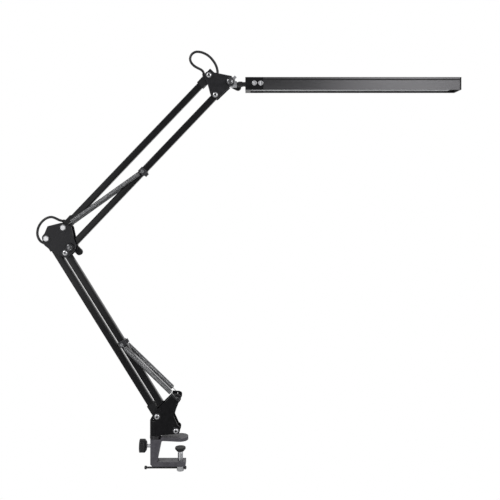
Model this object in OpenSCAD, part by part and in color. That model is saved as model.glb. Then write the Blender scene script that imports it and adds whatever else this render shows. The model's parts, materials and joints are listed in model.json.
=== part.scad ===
// Desk lamp on a C clamp: two parallelogram arms and a bar-shaped LED head.
// X runs to the right, Y away from the viewer and Z up. The origin lies on the underside of the
// clamp's upper jaw, where the axis of the clamp screw meets it. All sizes are in millimetres.

/* [Arms] */
// Length of the lower arm between its pivots
lower_len = 314; // [250:1:380]
// Angle of the lower arm above the X axis
lower_angle = 121.9; // [118:0.1:135]
// Length of the upper arm between its pivots
upper_len = 316; // [250:1:380]
// Angle of the upper arm above the X axis
upper_angle = 46.3; // [20:0.1:60]
// Side of the square tubes
tube_w = 10; // [9:0.25:10.5]
// Wall of the square tubes
tube_wall = 1; // [0.6:0.1:1.6]
// How far a tube runs past its pivot
tube_past = 4; // [3.6:0.1:4.2]
// Corner radius on the tube ends
tube_round = 3; // [2:0.1:3.2]

/* [Sleeves] */
// Length of a sleeve on the arm's side of the pivot
sleeve_len = 20; // [14:0.5:30]
// How far a sleeve runs past its pivot
sleeve_past = 6; // [5.5:0.1:6.2]
// How far the upper arm's far sleeve runs past its pivot
top_sleeve_past = 8.8; // [6:0.1:8.8]
// Wall of a sleeve above and below the tube
sleeve_wall = 1.25; // [0.8:0.05:1.3]
// Wall of a sleeve on the tube's two sides
sleeve_side = 0.6; // [0.4:0.05:0.7]
// Corner radius on the closed end of a sleeve
sleeve_round = 2.5; // [2:0.1:3]

/* [Brackets] */
// Sheet thickness of the brackets
plate_t = 1.5; // [1:0.1:2.5]
// Free space on each side between a sleeve and a bracket plate
side_gap = 1.3; // [1.1:0.05:1.8]
// Height of the first lower pivot above the jaw's underside
pivot_z = 37; // [36:0.5:44]
// Distance of the first lower pivot from the swivel axis
pivot_off = 3.4; // [2.5:0.1:6]

/* [Bolts] */
// Shank diameter of the pivot bolts
bolt_d = 5; // [4:0.1:6]
// Diameter of the button heads
button_d = 8.2; // [7:0.1:9]
// Width across flats of the hexagon heads and nuts
hex_af = 8; // [7:0.1:9]
// Height of heads and nuts
head_h = 2.8; // [2:0.1:4]
// Thickness of the outer washers
washer_t = 0.8; // [0.4:0.1:1.2]
// Diameter of the outer washers
washer_d = 10.4; // [9.6:0.1:10.8]
// Diameter of the domed heads of the two clamping bolts
dome_d = 12.6; // [11:0.1:13]
// Height of the domed heads
dome_h = 4; // [3:0.1:6]
// Reach of a wing knob's lobe from its bolt
wing_reach = 17.6; // [14:0.1:24]
// Width of a wing knob's lobes
wing_w = 10; // [6:0.1:10.5]

/* [Clamp] */
// Distance of the swivel axis from the clamp screw
post_off = 37.4; // [34:0.1:46]
// Thickness of the upper jaw
jaw_t = 5; // [4:0.1:5.8]
// Depth of the swivel post's socket below the jaw's underside
socket_depth = 18; // [14:0.5:26]
// Radius of the upper jaw's round end
jaw_r = 12; // [10:0.1:16]
// Clear height between the upper jaw and the lower arm
throat = 31.5; // [24:0.5:60]
// Thickness of the lower arm
clamp_arm_t = 7; // [6:0.1:12]
// Half depth of the clamp's spine
spine_half = 8.3; // [7.5:0.1:9]
// Diameter of the clamp screw
clamp_screw_d = 8; // [6:0.1:10]
// Gap between the jaw and the pressure pad at rest
jaw_gap = 12; // [8:0.5:16]
// Diameter of the pressure pad
pad_d = 16; // [12:0.5:20]
// Thickness of the pressure pad
pad_t = 3; // [2:0.1:4]
// Length of the tommy bar between its caps
tommy_len = 56.6; // [40:0.1:70]
// Diameter of the tommy bar
tommy_d = 3; // [2:0.1:4]
// Diameter of the locking knob
knob_d = 20; // [14:0.5:26]
// Length of the locking knob
knob_len = 10.5; // [8:0.1:14]
// Number of grooves round the locking knob
knob_grooves = 20; // [10:1:30]
// Diameter of the locking screw
lock_d = 5.5; // [4:0.1:6]
// Depth of the locking screw's axis below the jaw's underside
lock_z = 10; // [5:0.1:12]

/* [Springs] */
// Wire diameter of the springs
wire_d = 0.9; // [0.6:0.05:1]
// Outer diameter of the springs
spring_d = 6.9; // [5.5:0.1:7]
// Curls of each spring
curls = 22; // [10:1:24]
// Distance of the lower spring clip from its tube's pivot
lower_clip_at = 152.5; // [120:0.1:170]
// How far the lower springs' axes lie outside the base bracket's plates
lower_spring_side = 4.8; // [4.5:0.1:6]
// Distance of the upper spring clip from its tube's pivot
upper_clip_at = 157.5; // [140:0.1:180]

/* [Cable] */
// Diameter of the lamp cable
cable_d = 3.8; // [2:0.1:4]

/* [Head] */
// Length of the lamp head
head_len = 321.2; // [200:1:500]
// Depth of the lamp head
head_w = 36; // [30:0.5:50]
// Height of the lamp head
head_t = 19; // [17:0.1:26]
// Wall of the lamp head
head_wall = 1.5; // [1:0.1:2]
// Length of the wide end cover
cover_len = 27.1; // [24:0.1:34]
// Length of the end cap
cap_len = 2.2; // [1.5:0.1:4]
// Depth of the light's recess in the underside
recess = 2.8; // [1.5:0.1:4]
// Diameter of the stem that carries the head
stem_d = 7; // [5:0.1:8]
// Free length of the stem
stem_len = 12.9; // [12:0.1:30]
// Number of light chips
chip_count = 36; // [10:1:60]

/* [Hidden] */
$fn = 48;

// Clearances: a running fit, a thread, a free gap between bodies and the open pivots
fit = 0.05;
free = 0.3;
open_pivot = 0.3;
skin = 0.01;

// Colours
paint = "#232226";
dark = "#17171a";
steel = "#c9cbcd";
wire_grey = "#6d6f72";
grey_metal = "#3b3b40";

// Levels across the arms, measured from the middle plane
bore_r = bolt_d / 2 + fit;
tube_half = tube_w / 2;
sleeve_half = tube_half + sleeve_wall;
sleeve_face = tube_half + sleeve_side;
plate_in = sleeve_face + side_gap;
plate_out = plate_in + plate_t;
washer_out = plate_out + washer_t;
spring_r = (spring_d - wire_d) / 2;
hook_y = plate_in - wire_d / 2 - fit;
upper_spring_y = hook_y + spring_r;
anchor_t = 0.6;
lower_spring_y = plate_out + lower_spring_side;

// Points in the XZ plane: the four pivots of each parallelogram and the head's tilt axis
post_x = -post_off;
base_link = [28.2, -21.4];
elbow_link = [9.6, -29.4];
elbow_step = [25.3, 16.3];
pivot_a = [post_x + pivot_off, pivot_z];
pivot_b = pivot_a + base_link;
elbow_1 = pivot_a + lower_len * [cos(lower_angle), sin(lower_angle)];
elbow_3 = elbow_1 + base_link;
elbow_2 = elbow_1 + elbow_step;
elbow_4 = elbow_2 + elbow_link;
top_1 = elbow_2 + upper_len * [cos(upper_angle), sin(upper_angle)];
top_2 = top_1 + elbow_link;
tilt_p = top_1 + [31.6, -9.4];

// Spring anchors and the clips that the springs pull on
horn_p = pivot_b + [3.2, 48.6];
lower_clip = pivot_b + lower_clip_at * [cos(lower_angle), sin(lower_angle)];
upper_clip = elbow_4 + upper_clip_at * [cos(upper_angle), sin(upper_angle)];
lower_spring_v = lower_clip - horn_p;
upper_spring_v = upper_clip - elbow_2;
lower_spring_len = norm(lower_spring_v);
upper_spring_len = norm(upper_spring_v);
lower_spring_angle = atan2(lower_spring_v[1], lower_spring_v[0]);
upper_spring_angle = atan2(upper_spring_v[1], upper_spring_v[0]);
lower_lead = 14;
upper_lead = 15;
link_lead = 8.5;
eye_len = 4.5;
eye_t = wire_d;
hub_r = 5.5;
knob_hub = head_h + 6.4;
link_r = 2.6;
stud_r = 1.5;

// Cable bushes on the sleeves
bush_in = 6.4;
bush_len = 2.6;
function bush_foot(p, angle, at) = p + at * [cos(angle), sin(angle)] + sleeve_half * [-sin(angle), cos(angle)];

// Clamp levels
collar_z = 1.7;
collar_t = 5;
collar_r = 8.6;
stub_r = 4.5;
post_r = plate_in - 0.1;
post_top = pivot_z - 11.5;
bracket_z = collar_z + collar_t + free;
arm_top = -throat;
arm_bottom = arm_top - clamp_arm_t;
pad_z = -jaw_gap;
screw_r = clamp_screw_d / 2;
screw_end = arm_bottom - 9;
tommy_z = screw_end + 4.5;
screw_head_r = screw_r + 1.5;
tommy_shift = screw_head_r + free - tommy_len / 2;
pad_boss = 2.5;
tommy_cap = 3;
knob_x = post_x - 13.4;

// Head levels
head_z = tilt_p[1] - 13.7;
head_x = tilt_p[0] + 10 + stem_len;
head_end = head_x + head_len;
stem_z = tilt_p[1] - 3;
knuckle_x = tilt_p[0] + 10;
knuckle_half = plate_in - 0.4;
light_z = head_z + recess;
lens_t = 1.2;
ledge_z = light_z + lens_t + 0.1;
ledge_t = 1;
ledge_in = 2;
groove = 0.6;
board_z = ledge_z + ledge_t + 0.1;
board_t = 1.2;
chip_t = 0.8;
head_in = head_w / 2 - head_wall;
block_x = head_x + 6;
block_end = head_x + 42;
cover_end = head_x + cover_len;
cap_x = head_end - cap_len;
lens_x = head_x + 8;
lens_end = cap_x - 9;

// Centre line of the cable loop over the elbow, from the lower arm's gland to the upper arm
elbow_route = [for (p = [
    [-4.47, -7.98], [-7.37, -7.08], [-11.17, -4.78], [-13.97, -0.98], [-15.77, 3.62],
    [-16.17, 8.82], [-14.77, 15.82], [-11.07, 22.62], [-6.07, 27.72], [-0.67, 30.82],
    [5.33, 31.92], [11.33, 30.02], [17.33, 27.12], [22.63, 25.82]])
    [elbow_1[0] + p[0], 0, elbow_1[1] + p[1]]];
// Centre line of the cable loop over the top bracket, from the upper arm to the saddle
top_route = [for (p = [
    [-8.39, 3.67], [-9.39, 6.67], [-12.29, 9.67], [-17.69, 12.37], [-23.09, 15.67],
    [-27.49, 20.67], [-28.99, 26.27], [-27.39, 31.67], [-23.89, 35.17], [-19.19, 36.87],
    [-12.29, 36.17], [-5.29, 33.37], [1.01, 28.87], [6.11, 22.97], [9.61, 17.17], [11.71, 11.47],
    [12.51, 6.17], [12.51, 1.67]])
    [top_1[0] + p[0], 0, top_1[1] + p[1]]];

// Outlines of the brackets, each corner as x, z and its rounding radius
function corner(p, d, r) = [p[0] + d[0], p[1] + d[1], r];
base_corners = [
    corner([post_x, bracket_z], [-8.6, 0], 1),
    corner([post_x, bracket_z], [-8.6, 23], 8),
    corner(pivot_a, [-9.3, -4], 5),
    corner(pivot_a, [-5, 5.3], 2),
    corner(horn_p, [-10.2, 4], 1),
    corner(horn_p, [-9.4, 6.2], 1),
    corner(horn_p, [0.1, 5.6], 3),
    corner(horn_p, [4, 4], 3),
    corner(horn_p, [3.7, -1.8], 3),
    corner(horn_p, [1.4, -5.4], 1),
    corner(horn_p, [-2.75, -15.75], 12),
    corner(pivot_b, [-3.3, 21.1], 5),
    corner(pivot_b, [2.8, 7.6], 4),
    corner(pivot_b, [6.6, 4.6], 4),
    corner(pivot_b, [5.4, -5], 5),
    corner(pivot_b, [-4, -5.6], 5),
    corner([post_x, bracket_z], [8.6, 1.6], 2),
    corner([post_x, bracket_z], [7.4, 0], 1)];
anchor_corners = [
    corner(horn_p, [-10.6, 4], 1),
    corner(horn_p, [-10, 6.8], 1.2),
    corner(horn_p, [0.1, 6.2], 3),
    corner(horn_p, [4.6, 4.4], 3),
    corner(horn_p, [4.3, -1.8], 3),
    corner(horn_p, [1.8, -6], 1),
    corner(horn_p, [0, -5], 0.6)];
eyelet = [-1.6, 3.1];
eyelet_r = 1.4;
relief_corners = [
    corner([post_x, bracket_z], [-5.4, 21.6], 0.6),
    corner([post_x, bracket_z], [-1.6, 26.5], 0.6),
    corner([post_x, bracket_z], [-1.4, 21.2], 0.6)];
elbow_corners = [for (c = [[1.5, 18.5, 2], [21.5, 23.5, 3], [37, 18, 4], [40.5, 1.3, 12], [44.3, -9, 4],
    [42.6, -18.2, 6], [30.6, -30.2, 5], [7.6, -19, 20], [-4, -9.5, 5], [-7.5, 2, 5], [-3, 8, 6]])
    corner(elbow_1, [c[0], c[1]], c[2])];
top_corners = [for (c = [[-6, -5, 3], [-6.4, 4, 5], [1.5, 7.6, 5], [8.1, 4.3, 4], [34.8, -1.1, 1.5],
    [31.05, -17.6, 3], [11.7, -36.2, 2.5], [2.25, -29.45, 6], [-2.1, -13.1, 12]])
    corner(top_1, [c[0], c[1]], c[2])];

// Unit vector
function unit(v) = v / norm(v);

// Points of one corner b between its neighbours a and c, rounded with b's third value
function round_corner(a, b, c, steps = 6) =
    let (p = [b[0], b[1]],
        u = unit([a[0], a[1]] - p),
        v = unit([c[0], c[1]] - p),
        half = acos(max(-1, min(1, u * v))) / 2,
        centre = p + unit(u + v) * b[2] / sin(half),
        from = p + u * b[2] / tan(half) - centre,
        to = p + v * b[2] / tan(half) - centre,
        start = atan2(from[1], from[0]),
        turn = atan2(to[1], to[0]) - start,
        sweep = turn > 180 ? turn - 360 : turn < -180 ? turn + 360 : turn)
    [for (k = [0:steps]) centre + b[2] * [cos(start + sweep * k / steps), sin(start + sweep * k / steps)]];

// Points of a whole outline with rounded corners
function rounded(c) = [for (i = [0:len(c) - 1])
    each round_corner(c[(i + len(c) - 1) % len(c)], c[i], c[(i + 1) % len(c)])];

// Corners of a rectangle from x0, z0 to x1, z1 with one rounding radius
function box_corners(x0, z0, x1, z1, r) = [[x0, z0, r], [x1, z0, r], [x1, z1, r], [x0, z1, r]];

// Tangent of a path at point i
function tangent(p, i) = unit(p[min(i + 1, len(p) - 1)] - p[max(i - 1, 0)]);

// Normals along a path, each carried over from the last without twist
function normals(p, n0) = [for (i = 0, n = n0; i < len(p);
    i = i + 1,
    n = i < len(p) ? unit(n - (n * tangent(p, i)) * tangent(p, i)) : n) n];

// Tube of a given number of sides swept along a path, n0 square to its first stretch
module swept_tube(path, d, sides, n0) {
    n = normals(path, n0);
    rings = [for (i = [0:len(path) - 1])
        let (b = cross(tangent(path, i), n[i]))
        for (k = [0:sides - 1])
            path[i] + d / 2 * (cos(360 * k / sides) * n[i] + sin(360 * k / sides) * b)];
    last = (len(path) - 1) * sides;
    faces = concat(
        [for (k = [1:sides - 2]) [0, k, k + 1]],
        [for (k = [1:sides - 2]) [last, last + k + 1, last + k]],
        [for (i = [0:len(path) - 2], k = [0:sides - 1])
            let (a = i * sides + k, b = i * sides + (k + 1) % sides)
            each [[a, a + sides, b + sides], [a, b + sides, b]]]);
    polyhedron(points = rings, faces = faces, convexity = 6);
}

// Centre line of a spring along +X from its pivot: a lead at the offset, the curls, a middle lead
function spring_path(length, lead, offset) =
    let (rings = curls * 8,
        coil = length - lead - link_lead,
        grow = 4)
    concat(
        [[eye_len, -offset, 0], [eye_len + 2 * wire_d, -offset, 0], [lead - 2 * wire_d, -offset, 0]],
        [for (i = [0:rings])
            let (in = offset > 0 ? 1 : min(1, i / grow),
                out = min(1, (rings - i) / grow),
                r = spring_r * in * out,
                a = 180 + 360 * i / 8)
            [lead + coil * i / rings, r * cos(a), r * sin(a)]],
        [[length - link_lead + 2 * wire_d, 0, 0], [length - eye_len - 2 * wire_d, 0, 0],
            [length - eye_len, 0, 0]]);

// Least distance between the surfaces of a spring's own turns, measured on its points
function least_gap(p) = min([for (i = [0:len(p) - 7], j = [i + 6:len(p) - 1]) norm(p[i] - p[j])]) - wire_d;

lower_path = spring_path(lower_spring_len, lower_lead, 0);
upper_path = spring_path(upper_spring_len, upper_lead, spring_r);
echo(least_gap_lower_spring = least_gap(lower_path), least_gap_upper_spring = least_gap(upper_path));

// Moves the X axis of a piece to start at point p in the XZ plane and to rise at an angle
module along(p, angle) translate([p[0], 0, p[1]]) rotate([0, -angle, 0]) children();

// Extrudes an XZ outline along Y between two levels
module slab(y0, y1) translate([0, y1, 0]) rotate([90, 0, 0]) linear_extrude(y1 - y0) children();

// Round bar along Y through point p
module rod_y(p, y0, y1, r) translate([p[0], y0, p[1]]) rotate([-90, 0, 0]) cylinder(r = r, h = y1 - y0);

// Round bar along X from x0 to x1
module rod_x(x0, x1, z, r) translate([x0, 0, z]) rotate([0, 90, 0]) cylinder(r = r, h = x1 - x0);

// Ring along Y round point p
module ring_y(p, y0, y1, r, hole) difference() {
    rod_y(p, y0, y1, r);
    rod_y(p, y0 - 1, y1 + 1, hole);
}

// The same pieces in front of the arms and behind them
module front_and_rear() {
    children();
    mirror([0, 1, 0]) children();
}

// Hexagon along Y at point p
module hex_y(p, y0, y1) translate([p[0], y0, p[1]]) rotate([-90, 0, 0])
    cylinder(r = hex_af / sqrt(3), h = y1 - y0, $fn = 6);

// Bolt through both plates with its head in front
module pivot_bolt(p, hex = false) {
    y0 = -washer_out;
    rod_y(p, y0 - skin, washer_out + head_h + 1, bolt_d / 2);
    difference() {
        if (hex)
            hex_y(p, y0 - head_h, y0);
        else
            translate([p[0], y0, p[1]]) rotate([90, 0, 0]) {
                cylinder(d = button_d, h = head_h / 2);
                translate([0, 0, head_h / 2]) cylinder(d1 = button_d, d2 = button_d * 0.7, h = head_h / 2);
            }
        if (!hex)
            translate([p[0], y0 - head_h - 1, p[1]]) rotate([-90, 0, 0])
                cylinder(d = bolt_d * 0.6, h = 1 + head_h * 0.6, $fn = 6);
    }
}

// Nut behind the rear plate
module pivot_nut(p) difference() {
    hex_y(p, washer_out, washer_out + head_h);
    rod_y(p, washer_out - 1, washer_out + head_h + 1, bore_r);
}

// Outer washers of a bolt
module washers(p) front_and_rear() ring_y(p, plate_out, washer_out, washer_d / 2, bore_r);

// Inner spacers that centre a tube or a sleeve between the plates
module spacers(p, face) front_and_rear()
    ring_y(p, face + 0.15, plate_in - 0.15, tube_half - 0.5, bore_r);

// Square tube along +X from its pivot, with rounded ends and a bore at each pivot
module square_tube(length, far_bore) difference() {
    slab(-tube_half, tube_half)
        polygon(rounded(box_corners(-tube_past, -tube_half, length + tube_past, tube_half, tube_round)));
    translate([-tube_past - 1, -tube_half + tube_wall, -tube_half + tube_wall])
        cube([length + 2 * tube_past + 2, tube_w - 2 * tube_wall, tube_w - 2 * tube_wall]);
    rod_y([0, 0], -tube_w, tube_w, bore_r);
    rod_y([length, 0], -tube_w, tube_w, far_bore);
}

// Sleeve over a tube's end: the pivot is at the origin and the tube leaves along +X. The closed end
// lies at a distance past the pivot and has a corner radius of its own on the +Z side.
module sleeve(past = sleeve_past, upper_round = sleeve_round) difference() {
    slab(-sleeve_face, sleeve_face)
        polygon(rounded([[-past, -sleeve_half, sleeve_round], [sleeve_len, -sleeve_half, 0.5],
            [sleeve_len, sleeve_half, 0.5], [-past, sleeve_half, upper_round]]));
    slab(-tube_half, tube_half)
        polygon(rounded([[-tube_past, -tube_half, tube_round], [sleeve_len + 5, -tube_half, 1],
            [sleeve_len + 5, tube_half, 1], [-tube_past, tube_half, tube_round]]));
    rod_y([0, 0], -tube_w, tube_w, bore_r);
}

// Both sleeves of a main tube, the far one with its own closed end
module sleeve_pair(p, angle, length, far_past, far_round) along(p, angle) {
    sleeve();
    translate([length, 0, 0]) mirror([1, 0, 0]) sleeve(far_past, far_round);
}

// Slanting bush on the left side of a sleeve: the pivot and the arm's angle place the sleeve, and
// the bush leaves its surface at a distance along it, in a direction of its own
module cable_bush(p, angle, at, direction) difference() {
    along(bush_foot(p, angle, at), direction)
        translate([-3, 0, 0]) rotate([0, 90, 0]) cylinder(r = cable_d / 2 + 0.8, h = 3 + bush_len);
    along(p, angle) translate([at - 20, -10, -20 + sleeve_half]) cube([40, 20, 20]);
}

// Band round a follower tube with a stud on each side for the springs
module spring_clip(p, angle, y) along(p, angle) {
    difference() {
        slab(-tube_half - 0.8, tube_half + 0.8)
            polygon(rounded(box_corners(-4.5, -tube_half - 0.8, 4.5, tube_half + 0.8, 0.8)));
        translate([-10, -tube_half, -tube_half]) cube([20, tube_w, tube_w]);
    }
    front_and_rear() rod_y([0, 0], tube_half + 0.5, y - eye_t / 2 - free, 2.2);
    translate([-3, -2, -tube_half - 4]) cube([6, 4, 3.3]);
}

// Eye round a bolt or a stud with its shank along the spring's axis
module spring_eye(p, angle, y, hole) along(p, angle) front_and_rear() {
    difference() {
        union() {
            rod_y([0, 0], y - eye_t / 2, y + eye_t / 2, hole + 1.2);
            translate([hole + 0.5, y - eye_t / 2, -eye_t / 2]) cube([eye_len - hole - 0.5, eye_t, eye_t]);
        }
        rod_y([0, 0], y - eye_t, y + eye_t, hole);
    }
}

// Riveted end of the springs beside a clip's stud
module spring_link(p, angle, length, y) along(p, angle) front_and_rear() {
    rod_y([length, 0], y - eye_t / 2, y + eye_t / 2, link_r);
    rod_y([length, 0], y, y + eye_t / 2 + 0.8, link_r * 0.6);
    translate([length - eye_len, y - eye_t / 2, -eye_t / 2]) cube([eye_len - 1, eye_t, eye_t]);
}

// Domed head of a clamping bolt, with two rings on it, and its shank
module clamping_bolt(p) {
    rod_y(p, -washer_out - skin, washer_out + knob_hub - 1, bolt_d / 2);
    translate([p[0], -washer_out, p[1]]) rotate([90, 0, 0]) {
        rotate_extrude() polygon(concat([[0, 0], [dome_d / 2, 0]],
            [for (a = [0:10:90]) [dome_d / 2 * cos(a), dome_h * 0.3 + dome_h * 0.7 * sin(a)]]));
    }
}

// Wing knob behind the rear plate: a hub and one bar of two lobes, the long lobe at an angle
module wing_knob(p, angle) difference() {
    union() {
        rod_y(p, washer_out, washer_out + knob_hub, hub_r);
        along(p, angle) slab(washer_out + head_h + 1.4, washer_out + knob_hub - 0.6)
            polygon(rounded(box_corners(-wing_reach * 0.62, -wing_w / 2, wing_reach, wing_w / 2,
                wing_w / 2 - 0.2)));
    }
    rod_y(p, washer_out - 1, washer_out + knob_hub + 1, bore_r);
}

// Flat plate of a bracket with its bolt holes
module bracket_plate(corners, holes, y0) difference() {
    slab(y0, y0 + plate_t) polygon(rounded(corners));
    for (h = holes) rod_y(h, y0 - 1, y0 + plate_t + 1, bore_r);
}

// Clamp frame: jaw with a round end, tapering spine, lower arm with the screw's thread
module clamp_frame() color(grey_metal) difference() {
    union() {
        linear_extrude(jaw_t) {
            circle(r = jaw_r, $fn = 64);
            polygon([[post_x + collar_r + free, -spine_half], [-2, -jaw_r + 0.1], [-2, jaw_r - 0.1],
                [post_x + collar_r + free, spine_half]]);
        }
        slab(-spine_half, spine_half) polygon(concat(
            [[post_x - 7, collar_z], [post_x - 7, arm_bottom + 3], [post_x - 4, arm_bottom]],
            [[screw_r + 4, arm_bottom], [screw_r + 4, arm_top], [post_x + 3, arm_top]],
            [[post_x + 8.6, -4], [post_x + 9.6, -1.2], [post_x + 12, 0], [post_x + 12, collar_z]]));
        translate([post_x, 0, -socket_depth])
            cylinder(r1 = stub_r + 1.5, r2 = spine_half, h = collar_z + socket_depth);
        translate([0, 0, arm_bottom]) cylinder(r = spine_half, h = clamp_arm_t);
    }
    translate([post_x, 0, -socket_depth - 2]) cylinder(r = stub_r + fit, h = socket_depth + 10);
    translate([0, 0, arm_bottom - 1]) cylinder(r = screw_r + fit, h = clamp_arm_t + 2);
    rod_x(post_x - 20, post_x, -lock_z, lock_d / 2 + fit);
}

// Collar under the base bracket
module clamp_collar() color(dark) translate([post_x, 0, collar_z]) difference() {
    cylinder(r = collar_r, h = collar_t);
    translate([0, 0, -1]) cylinder(r = stub_r + fit, h = collar_t + 2);
}

// Clamp screw with a cross hole for the tommy bar
module clamp_screw() color(steel) difference() {
    union() {
        translate([0, 0, screw_end]) cylinder(r = screw_r, h = pad_z - pad_t - screw_end - fit);
        translate([0, 0, screw_end]) cylinder(r = screw_head_r, h = 8);
    }
    rod_x(-20, 20, tommy_z, tommy_d / 2 + fit);
}

// Pressure pad on the screw's tip
module pressure_pad() color(dark) difference() {
    union() {
        translate([0, 0, pad_z - pad_t]) cylinder(d = pad_d, h = pad_t);
        translate([0, 0, pad_z - pad_t - pad_boss]) cylinder(r = screw_r + 2, h = pad_boss + skin);
    }
    translate([0, 0, pad_z - pad_t - pad_boss - 1]) cylinder(r = screw_r + fit, h = pad_boss + 1);
}

// Tommy bar slid to one side, with a cap on each end
module tommy_bar() color(dark) {
    rod_x(tommy_shift - tommy_len / 2, tommy_shift + tommy_len / 2, tommy_z, tommy_d / 2);
    for (s = [-1, 1])
        rod_x(tommy_shift + s * (tommy_len / 2 + tommy_cap / 2) - tommy_cap / 2,
            tommy_shift + s * (tommy_len / 2 + tommy_cap / 2) + tommy_cap / 2, tommy_z, tommy_d / 2 + 1.2);
}

// Ribbed locking knob: a straight grip with grooves and a tapered neck
module lock_knob() color(dark) difference() {
    union() {
        rod_x(knob_x - knob_len, knob_x - knob_len * 0.25, -lock_z, knob_d / 2);
        translate([knob_x - knob_len * 0.25, 0, -lock_z]) rotate([0, 90, 0])
            cylinder(r1 = knob_d / 2, r2 = knob_d * 0.34, h = knob_len * 0.25);
    }
    for (i = [0:knob_grooves - 1])
        translate([knob_x - knob_len - 1, 0, -lock_z]) rotate([360 * i / knob_grooves, 0, 0])
            translate([0, 0, knob_d / 2]) rotate([0, 90, 0]) cylinder(r = 0.7, h = knob_len * 0.75 + 0.4, $fn = 16);
    rod_x(knob_x - knob_len + 2, knob_x + 1, -lock_z, lock_d / 2);
}

// Locking screw from the knob to the swivel post
module lock_screw() color(steel)
    rod_x(knob_x - knob_len + 2, post_x - stub_r - free, -lock_z, lock_d / 2);

// Folded base bracket: two plates joined by a round fold behind the post
module base_bracket() color(paint) difference() {
    intersection() {
        translate([post_x, 0, bracket_z]) linear_extrude(horn_p[1]) difference() {
            union() {
                circle(r = plate_out);
                translate([0, -plate_out]) square([post_off * 2, 2 * plate_out]);
            }
            circle(r = plate_in);
            translate([0, -plate_in]) square([post_off * 2 + 1, 2 * plate_in]);
        }
        slab(-plate_out - 1, plate_out + 1) polygon(rounded(base_corners));
    }
    slab(-plate_out - 1, 0) polygon(rounded(relief_corners));
    slab(0, plate_out + 1) translate([-1.9, -1.2]) polygon(rounded(relief_corners));
    for (p = [pivot_a, pivot_b]) rod_y(p, -plate_out - 1, plate_out + 1, bore_r);
    rod_y(horn_p + eyelet, -plate_out - 1, plate_out + 1, eyelet_r);
}

// Swivel post in the bracket's fold, with a thinner stub that turns in the clamp
module swivel_post() color(steel) translate([post_x, 0, 0]) {
    translate([0, 0, bracket_z]) cylinder(r = post_r, h = post_top - bracket_z);
    translate([0, 0, -socket_depth]) cylinder(r = stub_r, h = bracket_z + socket_depth + skin);
}

// Pivot hardware of the base bracket
module base_bolts() color(steel) for (p = [pivot_a, pivot_b]) pivot_bolt(p);
module base_nuts() color(steel) for (p = [pivot_a, pivot_b]) pivot_nut(p);
module base_spacers() color(dark) {
    for (p = [pivot_a, pivot_b]) washers(p);
    spacers(pivot_a, sleeve_face);
    spacers(pivot_b, tube_half);
}

// Anchor caps over the horn's tip, each with a shouldered stud for a spring's eye
module base_spring_anchors() color(dark) front_and_rear() {
    difference() {
        slab(plate_out, plate_out + anchor_t) polygon(rounded(anchor_corners));
        rod_y(horn_p + eyelet, plate_out - 1, plate_out + 2, eyelet_r);
    }
    rod_y(horn_p, plate_out, lower_spring_y - eye_t / 2 - free, stud_r + 0.5);
    rod_y(horn_p, plate_out, lower_spring_y + 1, stud_r);
    rod_y(horn_p, lower_spring_y + 0.9, lower_spring_y + 1.7, stud_r + 0.9);
}

// Lower arm
module lower_main_tube() color(paint) along(pivot_a, lower_angle) square_tube(lower_len, bore_r);
module lower_sleeves() color(dark) sleeve_pair(pivot_a, lower_angle, lower_len, sleeve_past, sleeve_round);
module lower_follower_tube() color(paint)
    along(pivot_b, lower_angle) square_tube(lower_len, bolt_d / 2 + open_pivot);
module lower_spring_clip() color(grey_metal) spring_clip(lower_clip, lower_angle, lower_spring_y);
module lower_cable_gland() color(dark)
    cable_bush(pivot_a, lower_angle, lower_len - bush_in, 162.8);

// Springs of the lower arm
module lower_spring_rear() color(wire_grey) along(horn_p, lower_spring_angle)
    translate([0, lower_spring_y, 0]) swept_tube(lower_path, wire_d, 6, [0, 1, 0]);
module lower_spring_front() mirror([0, 1, 0]) lower_spring_rear();
module lower_spring_eyes() color(wire_grey) spring_eye(horn_p, lower_spring_angle, lower_spring_y, stud_r + fit);
module lower_spring_links() color(wire_grey) 
    spring_link(horn_p, lower_spring_angle, lower_spring_len, lower_spring_y);

// Elbow bracket
module elbow_plate_front() color(paint)
    bracket_plate(elbow_corners, [elbow_1, elbow_2, elbow_3, elbow_4], -plate_out);
module elbow_plate_rear() color(paint)
    bracket_plate(elbow_corners, [elbow_1, elbow_2, elbow_3, elbow_4], plate_in);
module elbow_bolts() color(steel) {
    pivot_bolt(elbow_1, hex = true);
    pivot_bolt(elbow_2, hex = true);
    pivot_bolt(elbow_3);
}
module elbow_nuts() color(steel) for (p = [elbow_1, elbow_2, elbow_3]) pivot_nut(p);
module elbow_spacers() color(dark) {
    for (p = [elbow_1, elbow_2, elbow_3]) washers(p);
    spacers(elbow_1, sleeve_face);
    spacers(elbow_3, tube_half);
    spacers(elbow_4, tube_half);
    washers(elbow_4);
}
module elbow_clamp_bolt() color(dark) clamping_bolt(elbow_4);
module elbow_wing_knob() color(dark) wing_knob(elbow_4, -46);
module elbow_cable_loop() color(dark) swept_tube(elbow_route, cable_d, 8, [0, 1, 0]);

// Upper arm
module upper_main_tube() color(paint) along(elbow_2, upper_angle) square_tube(upper_len, bore_r);
module upper_sleeves() color(dark) sleeve_pair(elbow_2, upper_angle, upper_len, top_sleeve_past, 1.2);
module upper_follower_tube() color(paint)
    along(elbow_4, upper_angle) square_tube(upper_len, bolt_d / 2 + open_pivot);
module upper_spring_clip() color(grey_metal) spring_clip(upper_clip, upper_angle, upper_spring_y);
module upper_cable_glands() color(dark) {
    cable_bush(elbow_2, upper_angle, bush_in, 166.2);
    cable_bush(elbow_2, upper_angle, upper_len - 4.5, 108.4);
}

// Springs of the upper arm
module upper_spring_rear() color(wire_grey) along(elbow_2, upper_spring_angle)
    translate([0, upper_spring_y, 0]) swept_tube(upper_path, wire_d, 6, [0, 1, 0]);
module upper_spring_front() mirror([0, 1, 0]) upper_spring_rear();
module upper_spring_eyes() color(wire_grey) spring_eye(elbow_2, upper_spring_angle, hook_y, bore_r);
module upper_spring_links() color(wire_grey) 
    spring_link(elbow_2, upper_spring_angle, upper_spring_len, upper_spring_y);

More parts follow.
